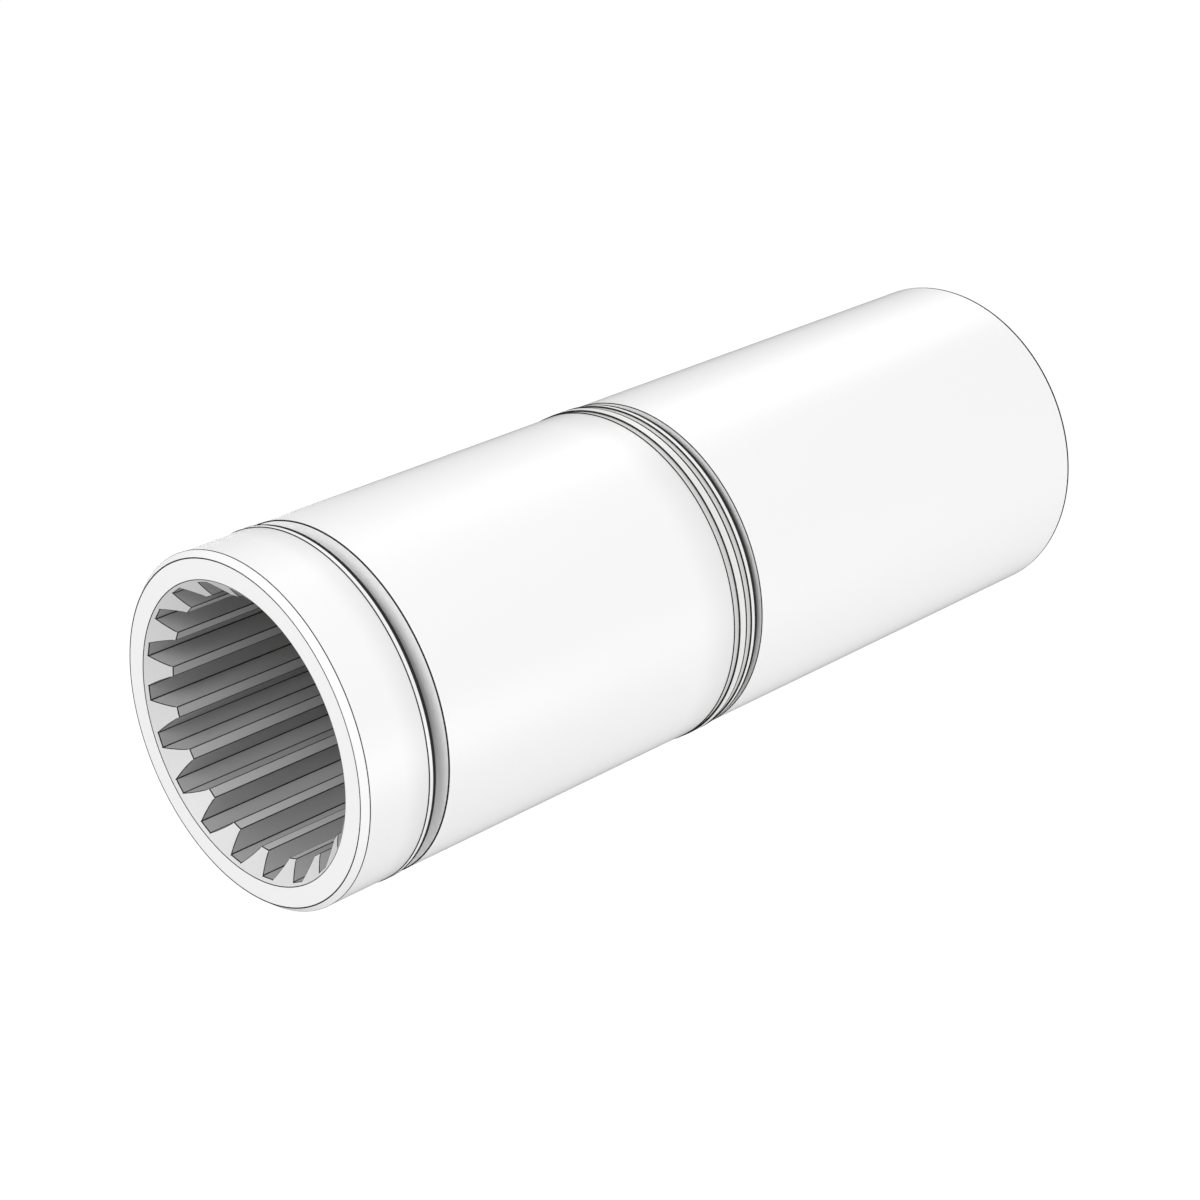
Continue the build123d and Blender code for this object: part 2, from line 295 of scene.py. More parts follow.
class StageSizes(bpy.types.PropertyGroup):
    """Camera, lamps and floor."""

    azimuth: FloatProperty(
        name="Azimuth", description="Turn of the camera's view about the vertical",
        default=radians(45.52), unit="ROTATION")
    elevation: FloatProperty(
        name="Elevation", description="Angle at which the camera looks down",
        default=radians(25.83), unit="ROTATION")
    distance: FloatProperty(
        name="Distance", description="Camera to the front face, along the view",
        default=375.91 * MM, unit="LENGTH")
    shift_right: FloatProperty(
        name="Shift right", description="Camera to the right of the front face's centre",
        default=48.66 * MM, unit="LENGTH")
    shift_up: FloatProperty(
        name="Shift up", description="Camera above the front face's centre, in the view's plane",
        default=18.28 * MM, unit="LENGTH")
    focal_length: FloatProperty(
        name="Focal length", description="Focal length in millimetres on a 36 mm sensor",
        default=83.307)
    floor_drop: FloatProperty(
        name="Floor drop", description="Sleeve's axis to the floor",
        default=0.45, unit="LENGTH")
    sky_strength: FloatProperty(
        name="Sky strength", description="Strength of the even white light all round", default=0.6)
    key_power: FloatProperty(
        name="Key power", description="Power of the soft lamp above the front end", default=6.6)
    right_power: FloatProperty(
        name="Right power", description="Power of the low lamp to the right", default=0.75)
    left_power: FloatProperty(
        name="Left power", description="Power of the low lamp to the left", default=0.4)
    back_power: FloatProperty(
        name="Back power", description="Power of the soft lamp behind the sleeve", default=2.3)


# Materials

FLOAT = "NodeSocketFloat"
COLOUR = "NodeSocketColor"
WHITE = (1.0, 1.0, 1.0, 1.0)

# Lathe marks: depth of the fine relief, and slow patches to the metre
MARK_DEPTH = 0.02 * MM
PATCH_SCALE = 60.0

# Share of the colour that the painted shade before a ring keeps, and the length in which it clears
HALO_KEPT = 0.88
HALO_EDGE = 0.1 * MM

# The coats reflect next to nothing, and tint light by the length of its way through them
COAT_IOR = 1.002
SLEEVE_TINT = 0.945
RING_TINT = 0.965


def new_material(name):
    """A node material and its Principled shader."""
    material = bpy.data.materials.new(name)
    material.use_nodes = True
    return material, material.node_tree.nodes["Principled BSDF"]


def add_node(tree, kind, inputs=None, **settings):
    """A node with its settings, and its inputs set to a value or linked to a socket."""
    node = tree.nodes.new(kind)
    for name, value in settings.items():
        setattr(node, name, value)
    for name, value in (inputs or {}).items():
        if isinstance(value, bpy.types.NodeSocket):
            tree.links.new(value, node.inputs[name])
        else:
            node.inputs[name].default_value = value
    return node


def maths(tree, operation, *values):
    """The result of a Math node."""
    return add_node(tree, "ShaderNodeMath", dict(enumerate(values)), operation=operation).outputs[0]


def between(tree, share, one, other):
    """The number at a share of the way from one to another."""
    mixed = add_node(tree, "ShaderNodeMix", {"Factor": share, "A": one, "B": other}, data_type="FLOAT")
    return mixed.outputs["Result"]


def scaled(tree, colour, factor):
    """A colour times a number."""
    node = add_node(tree, "ShaderNodeVectorMath", {0: colour, "Scale": factor}, operation="SCALE")
    return node.outputs[0]


def new_group(name, inputs, outputs):
    """A shader node group with float or colour sockets, and its input and output nodes."""
    group = bpy.data.node_groups.new(name, "ShaderNodeTree")
    for label, kind, value in inputs:
        socket = group.interface.new_socket(name=label, in_out="INPUT", socket_type=kind)
        socket.default_value = value
    for label, kind in outputs:
        group.interface.new_socket(name=label, in_out="OUTPUT", socket_type=kind)
    return group, group.nodes.new("NodeGroupInput"), group.nodes.new("NodeGroupOutput")


def place_nodes(group):
    """The sockets of a point's place, of its distance along the axis and of that from the axis."""
    place = add_node(group, "ShaderNodeTexCoord").outputs["Object"]
    split = add_node(group, "ShaderNodeSeparateXYZ", {"Vector": place})
    across = add_node(group, "ShaderNodeCombineXYZ", {"X": split.outputs["X"], "Y": split.outputs["Z"]})
    radius = add_node(group, "ShaderNodeVectorMath", {0: across.outputs[0]}, operation="LENGTH")
    return place, split.outputs["Y"], radius.outputs["Value"]


def lathe_marks_group():
    """Fine marks that run round the axis, on faces and on cylinders alike, with slow patches."""
    group, given, out = new_group(
        "lathe_marks",
        [
            ("Spacing", FLOAT, 0.15 * MM),
            ("Patchiness", FLOAT, 0.3),
            ("Colour", COLOUR, WHITE),
            ("Colour change", FLOAT, 0.02),
            ("Roughness", FLOAT, 0.4),
            ("Roughness change", FLOAT, 0.08),
        ],
        [("Colour", COLOUR), ("Roughness", FLOAT), ("Height", FLOAT)],
    )
    place, along, radius = place_nodes(group)
    rings = add_node(group, "ShaderNodeCombineXYZ", {"X": radius, "Y": along})
    scale = maths(group, "DIVIDE", 1.0, given.outputs["Spacing"])
    marks = add_node(
        group, "ShaderNodeTexNoise",
        {"Vector": rings.outputs[0], "Scale": scale, "Detail": 2.0, "Roughness": 0.6})
    patches = add_node(
        group, "ShaderNodeTexNoise",
        {"Vector": place, "Scale": PATCH_SCALE, "Detail": 3.0, "Roughness": 0.55})
    mixed = between(group, given.outputs["Patchiness"], marks.outputs["Fac"], patches.outputs["Fac"])
    centred = maths(group, "SUBTRACT", mixed, 0.5)
    tone = maths(group, "MULTIPLY_ADD", centred, given.outputs["Colour change"], 1.0)
    rough = maths(
        group, "MULTIPLY_ADD", centred, given.outputs["Roughness change"], given.outputs["Roughness"])
    group.links.new(scaled(group, given.outputs["Colour"], tone), out.inputs["Colour"])
    group.links.new(rough, out.inputs["Roughness"])
    group.links.new(marks.outputs["Fac"], out.inputs["Height"])
    return group


def painted_shade_group():
    """Paints shade: darkens a colour between two places along the sleeve, or between two radii.

    A share above 1 undoes a painted shade before it.
    """
    group, given, out = new_group(
        "oil_film",
        [
            ("Colour", COLOUR, WHITE),
            ("By radius", FLOAT, 0.0),
            ("From", FLOAT, 0.0),
            ("To", FLOAT, 0.01),
            ("Share kept", FLOAT, 0.9),
        ],
        [("Colour", COLOUR)],
    )
    _, along, radius = place_nodes(group)
    shade_node = add_node(
        group, "ShaderNodeMapRange",
        {
            "Value": between(group, given.outputs["By radius"], along, radius),
            "From Min": given.outputs["From"],
            "From Max": given.outputs["To"],
            "To Min": 1.0,
            "To Max": given.outputs["Share kept"],
        },
        interpolation_type="SMOOTHSTEP")
    colour = scaled(group, given.outputs["Colour"], shade_node.outputs["Result"])
    group.links.new(colour, out.inputs["Colour"])
    return group


def shared_group(name, make):
    return bpy.data.node_groups.get(name) or make()


def rgba(colour):
    return (*colour, 1.0)


def turned_finish(name, colour, roughness=0.4, spacing=0.15, change=0.02, bump=0.05, metallic=0.0,
                  specular=0.5, painted_shades=()):
    """A finish with fine lathe marks, and painted shade. Each painted shade is (measured by radius,
    from, to, share kept).
    """
    material, shader = new_material(name)
    tree = material.node_tree
    source = rgba(colour)
    for by_radius, start, end, kept in painted_shades:
        measured = {"By radius": float(by_radius), "From": start, "To": end, "Share kept": kept}
        shade_node = add_node(
            tree, "ShaderNodeGroup", {"Colour": source, **measured},
            node_tree=shared_group("oil_film", painted_shade_group))
        source = shade_node.outputs["Colour"]
    marks = add_node(
        tree, "ShaderNodeGroup",
        {"Colour": source, "Spacing": spacing * MM, "Colour change": change, "Roughness": roughness},
        node_tree=shared_group("lathe_marks", lathe_marks_group))
    relief = add_node(
        tree, "ShaderNodeBump",
        {"Height": marks.outputs["Height"], "Strength": bump, "Distance": MARK_DEPTH})
    tree.links.new(marks.outputs["Colour"], shader.inputs["Base Color"])
    tree.links.new(marks.outputs["Roughness"], shader.inputs["Roughness"])
    tree.links.new(relief.outputs["Normal"], shader.inputs["Normal"])
    shader.inputs["Metallic"].default_value = metallic
    shader.inputs["Specular IOR Level"].default_value = specular
    return material


def clear_coated(material, tint):
    """Gives a material a thin clear coat, which takes most light where it is seen edge on."""
    shader = material.node_tree.nodes["Principled BSDF"]
    shader.inputs["Coat Weight"].default_value = 1.0
    shader.inputs["Coat Roughness"].default_value = 0.0
    shader.inputs["Coat IOR"].default_value = COAT_IOR
    shader.inputs["Coat Tint"].default_value = (tint, tint, tint, 1.0)
    return material


def painted_halo(ring, reach, clear_from):
    """Painted shade that darkens the outer face up to a ring, and clears again from a place behind it.
    """
    return [
        (False, start_of(ring) - reach, start_of(ring), HALO_KEPT),
        (False, clear_from, clear_from + HALO_EDGE, 1 / HALO_KEPT),
    ]


def shade_inwards(shallow, deep, kept):
    """Painted shade that darkens a wall from one depth under the outer face to another."""
    outer = outer_of_sleeve()
    return (True, outer - shallow, outer - deep, kept)


def shade_rearwards(reach, kept):
    """Painted shade that darkens the bore from the front face to a distance behind it."""
    return (False, 0.0, reach, kept)


def sleeve_materials():
    """The front and rear sleeves' materials, in the order of the finishes."""
    colours = bpy.context.scene.finish_colours
    outer = turned_finish(
        "white_outer", colours.outer, roughness=0.42, spacing=0.2, change=0.012,
        # Painted shade on the outer face just before the lock ring and before the seal set
        painted_shades=[
            *painted_halo("lock_ring", reach=4.5 * MM, clear_from=end_of("lock_ring")),
            *painted_halo("front_backup_ring", reach=7.5 * MM, clear_from=start_of("rear_sleeve") - HALO_EDGE),
        ])
    return [
        clear_coated(outer, SLEEVE_TINT),
        turned_finish("edge_line", colours.line, roughness=0.5, change=0.2, specular=0.0),
        # Groove walls: painted shade, darkest near the groove's floor
        turned_finish(
            "groove_steel", colours.outer, roughness=0.45, spacing=0.1, change=0.03,
            painted_shades=[shade_inwards(shallow=2.2 * MM, deep=3.0 * MM, kept=0.1)]),
        turned_finish("bore_steel", colours.flank, roughness=0.4, spacing=0.12, change=0.1),
        turned_finish("mouth_steel", colours.mouth, roughness=0.45, spacing=0.1, change=0.05),
        # Flanks and lands: painted shade, darker deeper into the bore
        turned_finish(
            "flank_steel", colours.flank, roughness=0.38, spacing=0.3, change=0.06,
            painted_shades=[shade_rearwards(reach=16.0 * MM, kept=0.9)]),
        turned_finish(
            "land_steel", colours.land, roughness=0.35, spacing=0.3, change=0.06,
            painted_shades=[shade_rearwards(reach=24.0 * MM, kept=0.75)]),
        # Joint face: painted shade, nearly black deep in the gap between the sleeves
        turned_finish(
            "joint_steel", colours.outer, roughness=0.45, spacing=0.1, change=0.03,
            painted_shades=[shade_inwards(shallow=0.4 * MM, deep=1.5 * MM, kept=0.04)]),
        turned_finish("seat_steel", colours.groove, roughness=0.4, spacing=0.12, change=0.08),
    ]


FINISH_NAMES = (
    "white_outer", "edge_line", "groove_steel", "bore_steel", "mouth_steel", "flank_steel",
    "land_steel", "joint_steel", "seat_steel",
)


# Mesh making

def new_object(name, data):
    """An object of the scene that holds a mesh, a lamp or a camera."""
    item = bpy.data.objects.new(name, data)
    bpy.context.scene.collection.objects.link(item)
    return item


def to_space(radius, place, angle):
    """A point from its distance to the axis, its place along it and its angle from +X to +Z."""
    return (radius * cos(angle), place, radius * sin(angle))


def towards(point, other, distance):
    """The point at a distance from one point towards another, but short of half way."""
    length = hypot(other[0] - point[0], other[1] - point[1])
    share = min(LINE_SHARE, distance / length)
    return (point[0] + (other[0] - point[0]) * share, point[1] + (other[1] - point[1]) * share)


def lined(corners):
    """Outline points with a thin line face on both sides of each corner that has a line.

    A corner is (radius, place, finish of the face that follows, line before, line after).
    """
    points = []
    for number, (radius, place, finish, before, after) in enumerate(corners):
        last = corners[number - 1]
        following = corners[(number + 1) % len(corners)]
        if before:
            points.append((*towards((radius, place), last, before), LINE))
        if after:
            points.append((radius, place, LINE))
            points.append((*towards((radius, place), following, after), finish))
        else:
            points.append((radius, place, finish))
    return points


def corner(radius, place, finish, line=0.0, after=None):
    """A corner with a dark line before it, and one after it that is as wide unless after says."""
    return (radius, place, finish, line, line if after is None else after)


def arc(centre_radius, centre_place, size, start, end, finish, steps=5):
    """Corners along a quarter round, from one angle to another."""
    return [
        corner(centre_radius + size * cos(start + (end - start) * step / steps),
               centre_place + size * sin(start + (end - start) * step / steps), finish)
        for step in range(steps + 1)
    ]


def add_piece(name, mesh, materials, body, nodes):
    """Smooths a mesh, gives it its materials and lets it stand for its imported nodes."""
    for material in materials:
        mesh.materials.append(material)
    work = bmesh.new()
    work.from_mesh(mesh)
    bmesh.ops.remove_doubles(work, verts=work.verts, dist=PIECE_MERGE)
    bmesh.ops.recalc_face_normals(work, faces=work.faces)
    work.to_mesh(mesh)
    work.free()
    mesh.shade_smooth()
    mesh.set_sharp_from_angle(angle=SHARP_ANGLE)
    piece = new_object(name, mesh)
    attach(piece, body)
    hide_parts(*nodes)


def strip(here, there, count):
    """Faces between two columns of a closed outline, given the number of each one's first point."""
    return [
        (here + row, there + row, there + (row + 1) % count, here + (row + 1) % count)
        for row in range(count)
    ]


def turned_mesh(name, points, sweep=None):
    """A mesh turned about the axis from outline points (radius, place, finish).

    sweep gives the angle of a split ring at an outline point, from 0 to 1 of the way round.
    """
    segments = bpy.context.scene.sleeve_sizes.segments
    count = len(points)
    columns = segments + 1 if sweep else segments
    vertices = []
    for column in range(columns):
        share = column / segments
        for radius, place, _ in points:
            angle = sweep(radius, place, share) if sweep else 2 * pi * share
            vertices.append(to_space(radius, place, angle))
    faces = []
    finishes = []
    for column in range(segments):
        faces += strip(column * count, (column + 1) % columns * count, count)
        finishes += [finish for _, _, finish in points]
    if sweep:
        faces.append(tuple(range(count)))
        faces.append(tuple(reversed(range(segments * count, (segments + 1) * count))))
        finishes += [points[0][2]] * 2
    mesh = bpy.data.meshes.new(name)
    mesh.from_pydata(vertices, [], faces)
    mesh.polygons.foreach_set("material_index", finishes)
    mesh.update()
    return mesh


# The front sleeve: one tooth pitch, repeated round the axis

def involute(angle):
    """The involute function of a pressure angle."""
    return tan(angle) - angle


def space_half_angle(radius, spline):
    """Half of the angle that a tooth space takes up at a radius."""
    base_radius = spline.pitch_radius * cos(spline.pressure_angle)
    at_pitch = spline.space_width / (2 * spline.pitch_radius)
    return at_pitch + involute(spline.pressure_angle) - involute(acos(base_radius / radius))


def tooth_columns(spline, tip_radius):
    """Columns (angle, radius, finish of the strip that follows, line on the cone), over one pitch.

    Angles are from the middle of a tooth space. The columns of one half are mirrored.
    """
    half_pitch = pi / spline.tooth_count
    line = spline.line_width
    root_radius = spline.root_radius
    root_corner = space_half_angle(root_radius, spline)
    tip_corner = space_half_angle(tip_radius, spline)
    root_inner = root_corner - line / root_radius
    half = [(root_inner * step / ROOT_STEPS, root_radius, FLANK, line) for step in range(ROOT_STEPS)]
    half.append((root_inner, root_radius, LINE, line))
    radii = [root_radius, root_radius - line]
    steps = spline.flank_steps
    radii += [root_radius - line - (root_radius - tip_radius - 2 * line) * step / steps
              for step in range(1, steps + 1)]
    radii.append(tip_radius)
    base_radius = spline.pitch_radius * cos(spline.pressure_angle)
    for number, radius in enumerate(radii[:-1]):
        finish = LINE if number in (0, len(radii) - 2) else FLANK
        # A flank meets the 45 degree cone on a slant, so its line is longer down the cone
        slope = tan(acos(base_radius / radius)) / sqrt(2)
        on_cone = line * sqrt(1 + 1 / slope ** 2)
        half.append((space_half_angle(radius, spline), radius, finish, on_cone))
    half.append((tip_corner, tip_radius, LINE, line))
    half.append((tip_corner + line / tip_radius, tip_radius, LAND, line))
    half.append((half_pitch, tip_radius, LAND, line))
    mirrored = [
        (-angle, radius, half[number - 1][2], on_cone)
        for number, (angle, radius, _, on_cone) in enumerate(half)
        if number > 0
    ]
    return mirrored[::-1] + half


def front_sleeve_corners(radius, on_cone):
    """The front sleeve's outline through the bore's profile at one radius."""
    spline = bpy.context.scene.spline_sizes
    sleeve = bpy.context.scene.sleeve_sizes
    mouth_radius = spline.root_radius + spline.mouth_land
    relief_radius = spline.root_radius + spline.bore_relief
    spigot_radius = relief_radius + sleeve.spigot_wall
    outer = outer_of_sleeve()
    land_end = start_of("lock_ring") - sleeve.side_play
    groove_end = land_end + sleeve.groove_width
    floor = outer - sleeve.groove_depth
    fillet = sleeve.groove_fillet
    shoulder = start_of("front_backup_ring") - sleeve.side_play
    spigot_end = end_of("front_sleeve")
    line = sleeve.line_width
    return [
        (radius, mouth_radius - radius, TOOTH, on_cone, spline.line_width),
        corner(radius, spline.spline_end - (relief_radius - radius), BORE),
        corner(relief_radius, spline.spline_end, BORE),
        corner(relief_radius, spigot_end, BORE),
        corner(spigot_radius - sleeve.lead_chamfer, spigot_end, BORE),
        corner(spigot_radius, spigot_end - sleeve.lead_chamfer, SEAT),
        corner(spigot_radius, shoulder, SEAT),
        corner(outer, shoulder, OUTER, line),
        corner(outer, groove_end, GROOVE, sleeve.groove_line),
        *arc(floor + fillet, groove_end - fillet, fillet, pi / 2, pi, GROOVE),
        *arc(floor + fillet, land_end + fillet, fillet, pi, 3 * pi / 2, GROOVE),
        corner(outer, land_end, OUTER),
        corner(outer, sleeve.chamfer_axial, OUTER, line),
        corner(outer - sleeve.chamfer_radial, 0.0, OUTER, 0.0, sleeve.front_line),
        corner(mouth_radius, 0.0, MOUTH, line),
    ]


def repeat_tree(materials):
    """Geometry nodes that repeat a mesh round the axis and hand out its finishes."""
    tree = bpy.data.node_groups.new("repeat_round_axis", "GeometryNodeTree")
    tree.interface.new_socket(name="Geometry", in_out="INPUT", socket_type="NodeSocketGeometry")
    tree.interface.new_socket(name="Count", in_out="INPUT", socket_type="NodeSocketInt")
    tree.interface.new_socket(name="Geometry", in_out="OUTPUT", socket_type="NodeSocketGeometry")
    given = tree.nodes.new("NodeGroupInput")
    out = tree.nodes.new("NodeGroupOutput")
    points = add_node(tree, "GeometryNodePoints", {"Count": given.outputs["Count"]})
    step = maths(tree, "DIVIDE", 2 * pi, given.outputs["Count"])
    index = add_node(tree, "GeometryNodeInputIndex")
    turn = maths(tree, "MULTIPLY", index.outputs[0], step)
    euler = add_node(tree, "ShaderNodeCombineXYZ", {"Y": turn})
    rotation = add_node(tree, "FunctionNodeEulerToRotation", {"Euler": euler.outputs[0]})
    copies = add_node(
        tree, "GeometryNodeInstanceOnPoints",
        {
            "Points": points.outputs[0],
            "Instance": given.outputs["Geometry"],
            "Rotation": rotation.outputs[0],
        })
    whole = add_node(tree, "GeometryNodeRealizeInstances", {"Geometry": copies.outputs[0]})
    joined = add_node(
        tree, "GeometryNodeMergeByDistance", {"Geometry": whole.outputs[0], "Distance": PITCH_MERGE})
    latest = joined.outputs[0]
    finish = add_node(tree, "GeometryNodeInputNamedAttribute", {"Name": "finish"}, data_type="INT")
    for number, material in enumerate(materials):
        same = add_node(
            tree, "FunctionNodeCompare", {"A": finish.outputs["Attribute"], "B": number},
            data_type="INT", operation="EQUAL")
        coated = add_node(
            tree, "GeometryNodeSetMaterial",
            {"Geometry": latest, "Selection": same.outputs[0], "Material": material})
        latest = coated.outputs[0]
    tree.links.new(latest, out.inputs["Geometry"])
    return tree


def repeated_mesh(pitch_mesh, count, materials):
    """The plain mesh that the repeat gives, with its modifier gone."""
    holder = new_object("pitch", pitch_mesh)
    modifier = holder.modifiers.new("repeat", "NODES")
    modifier.node_group = repeat_tree(materials)
    for item in modifier.node_group.interface.items_tree:
        if item.item_type == "SOCKET" and item.in_out == "INPUT" and item.name == "Count":
            modifier[item.identifier] = count
    graph = bpy.context.evaluated_depsgraph_get()
    mesh = bpy.data.meshes.new_from_object(holder.evaluated_get(graph))
    bpy.data.objects.remove(holder)
    bpy.data.meshes.remove(pitch_mesh)
    mesh.attributes.remove(mesh.attributes["finish"])
    return mesh


def front_sleeve_mesh(materials):
    """The front sleeve, as one tooth pitch between the outlines at its columns and its repeats."""
    spline = bpy.context.scene.spline_sizes
    columns = tooth_columns(spline, inner_of("front_sleeve"))
    outlines = [lined(front_sleeve_corners(radius, on_cone)) for _, radius, _, on_cone in columns]
    count = len(outlines[0])
    vertices = []
    for (angle, _, _, _), outline in zip(columns, outlines):
        vertices += [to_space(radius, place, pi / 2 + angle) for radius, place, _ in outline]
    faces = []
    finishes = []
    for number, (_, _, tooth_finish, _) in enumerate(columns[:-1]):
        faces += strip(number * count, (number + 1) * count, count)
        finishes += [tooth_finish if finish == TOOTH else finish for _, _, finish in outlines[0]]
    mesh = bpy.data.meshes.new("tooth_pitch")
    mesh.from_pydata(vertices, [], faces)
    mesh.attributes.new("finish", "INT", "FACE").data.foreach_set("value", finishes)
    mesh.update()
    return repeated_mesh(mesh, spline.tooth_count, materials)


class SLEEVE_OT_front_sleeve(bpy.types.Operator):
    """Adds the splined front sleeve"""

    bl_idname = "sleeve.front_sleeve"
    bl_label = "Front sleeve"

    def execute(self, context):
        mesh = front_sleeve_mesh(sleeve_materials())
        add_piece("front_sleeve_finish", mesh, [], SLEEVE, ["front_sleeve"])
        return {"FINISHED"}


# The rear sleeve

def rear_sleeve_corners():
    """The rear sleeve's outline: front end, outer face, rear end and back through the bore."""
    spline = bpy.context.scene.spline_sizes
    sleeve = bpy.context.scene.sleeve_sizes
    outer = outer_of_sleeve()
    seat = outer_of("shaft_bush") + sleeve.seat
    retainer_floor = outer_of("retaining_ring") + sleeve.seat
    relief = spline.root_radius + spline.bore_relief
    socket = relief + sleeve.spigot_wall + sleeve.seat
    web_bore = inner_of("rear_sleeve")
    front = start_of("rear_sleeve")
    rear = end_of("rear_sleeve")
    seal_seat = start_of("shaft_seal")
    retainer_start = start_of("retaining_ring")
    retainer_end = end_of("retaining_ring") + sleeve.side_play
    seal_floor = outer_of("joint_seal") + sleeve.side_play
    seal_start = start_of("joint_seal") - sleeve.side_play
    seal_end = end_of("joint_backup_ring") + sleeve.side_play
    spigot_end = end_of("front_sleeve")
    bevel = sleeve.edge_break
    lead = sleeve.lead_chamfer
    line = sleeve.line_width
    return [
        corner(socket + bevel, front, JOINT),
        corner(outer - bevel, front, LINE),
        corner(outer, front + bevel, OUTER),
        corner(outer, rear - bevel, LINE, sleeve.rear_line, 0.0),
        corner(outer - bevel, rear, OUTER),
        corner(seat + lead, rear, OUTER, line),
        corner(seat, rear - lead, SEAT, line),
        corner(seat, retainer_end, SEAT),
        corner(retainer_floor, retainer_end, SEAT),
        corner(retainer_floor, retainer_start, SEAT),
        corner(seat, retainer_start, SEAT),
        corner(seat, seal_seat, SEAT),
        corner(web_bore, seal_seat, BORE),
        corner(web_bore, seal_seat - sleeve.web_lip, BORE),
        corner(relief, seal_seat - sleeve.web_lip, BORE),
        corner(relief, spigot_end, BORE),
        corner(socket, spigot_end, SEAT),
        corner(socket, seal_end, SEAT),
        corner(seal_floor, seal_end, SEAT),
        corner(seal_floor, seal_start, SEAT),
        corner(socket, seal_start, SEAT),
        corner(socket, front + bevel, SEAT),
    ]


class SLEEVE_OT_rear_sleeve(bpy.types.Operator):
    """Adds the plain rear sleeve"""

    bl_idname = "sleeve.rear_sleeve"
    bl_label = "Rear sleeve"

    def execute(self, context):
        mesh = turned_mesh("rear_sleeve_finish", lined(rear_sleeve_corners()))
        materials = [bpy.data.materials[name] for name in FINISH_NAMES]
        add_piece("rear_sleeve_finish", mesh, materials, SLEEVE, ["rear_sleeve"])
        return {"FINISHED"}


# Rings

def split_sweep(angle, width, slant, middle):
    """Angle of a split ring's columns, for a cut that leans along the sleeve."""
    def sweep(radius, place, share):
        lean = (place - middle) * tan(slant) / radius
        half_cut = width / (2 * cos(slant) * radius)
        near_cut = max(0.0, 1.0 - min(share, 1.0 - share) / CUT_REACH)
        return angle + half_cut + (2 * pi - 2 * half_cut) * share + lean * near_cut
    return sweep


def ring_finish(name, colour, roughness, change):
    """A ring's clear-coated finish."""
    return clear_coated(turned_finish(name, colour, roughness=roughness, change=change), RING_TINT)


def ring_materials(face):
    return [face, bpy.data.materials["edge_line"]]


def tapered_ring(node, taper, front_line, rear_line):
    """Outline of a ring whose outer face falls from front to rear, with a dark front corner."""
    inner, outer, start, end = measures_of(node)
    step_line = bpy.context.scene.ring_sizes.step_line
    return [
        corner(inner, start, OUTER),
        corner(outer, start, OUTER, step_line, front_line),
        corner(outer - taper, end, OUTER, rear_line),
        corner(inner, end, OUTER),
    ]


def bevelled_ring(node, bevel, step_line, rear_line):
    """Outline of a ring with small dark bevels, a line below the front one and one before the rear."""
    inner, outer, start, end = measures_of(node)
    return [
        corner(inner, start, OUTER),
        corner(outer - bevel, start, LINE, step_line, 0.0),
        corner(outer, start + bevel, OUTER),
        corner(outer, end - bevel, LINE, rear_line, 0.0),
        corner(outer - bevel, end, OUTER),
        corner(inner, end, OUTER),
    ]


class SLEEVE_OT_lock_ring(bpy.types.Operator):
    """Adds the split ring in the front groove"""

    bl_idname = "sleeve.lock_ring"
    bl_label = "Lock ring"

    def execute(self, context):
        node = "lock_ring"
        colours = context.scene.finish_colours
        rings = context.scene.ring_sizes
        # The lock ring's wide rear line is partly painted shade of the groove behind it
        corners = bevelled_ring(node, context.scene.sleeve_sizes.edge_break, 0.0, rings.bold_line_and_shade)
        sweep = split_sweep(rings.split_angle, rings.lock_gap, 0.0, start_of(node))
        face = ring_finish("ground_ring", colours.lock_ring, roughness=0.35, change=0.03)
        add_piece(
            "lock_ring_finish", turned_mesh(node, lined(corners), sweep), ring_materials(face),
            LOCK_RING, [node])
        return {"FINISHED"}


class SLEEVE_OT_seal_set(bpy.types.Operator):
    """Adds the four rings of the seal set that show"""

    bl_idname = "sleeve.seal_set"
    bl_label = "Seal set"

    def execute(self, context):
        colours = context.scene.finish_colours
        rings = context.scene.ring_sizes
        bevel = context.scene.sleeve_sizes.edge_break / 2
        line = rings.line_width
        backup = ring_finish("backup_plastic", colours.backup, roughness=0.55, change=0.04)
        seal = ring_finish("seal_plastic", colours.seal, roughness=0.45, change=0.03)
        guide = ring_finish("guide_plastic", colours.guide, roughness=0.55, change=0.03)
        for node, taper, width, turn, before, after, face, slot in (
            ("front_backup_ring", rings.backup_taper, rings.backup_cut, -rings.split_spread,
             0.0, line / 2, backup, "backup_plastic"),
            ("rear_backup_ring", rings.backup_taper, rings.backup_cut, rings.split_spread,
             line, line, backup, "backup_plastic"),
            # The guide ring's wide rear line is partly painted shade of the gap behind it
            ("guide_ring", rings.guide_taper, rings.guide_cut, 0.0,
             line / 2, rings.bold_line_and_shade, guide, "guide_plastic"),
        ):
            middle = (start_of(node) + end_of(node)) / 2
            sweep = split_sweep(rings.split_angle + turn, width, rings.scarf_angle, middle)
            mesh = turned_mesh(node, lined(tapered_ring(node, taper, before, after)), sweep)
            add_piece(f"{node}_finish", mesh, ring_materials(face), SEAL_SET, [node])
        node = "seal_ring"
        corners = bevelled_ring(node, bevel, rings.step_line, rings.seal_line)
        add_piece(
            "seal_ring_finish", turned_mesh(node, lined(corners)), ring_materials(seal),
            SEAL_SET, [node])
        return {"FINISHED"}


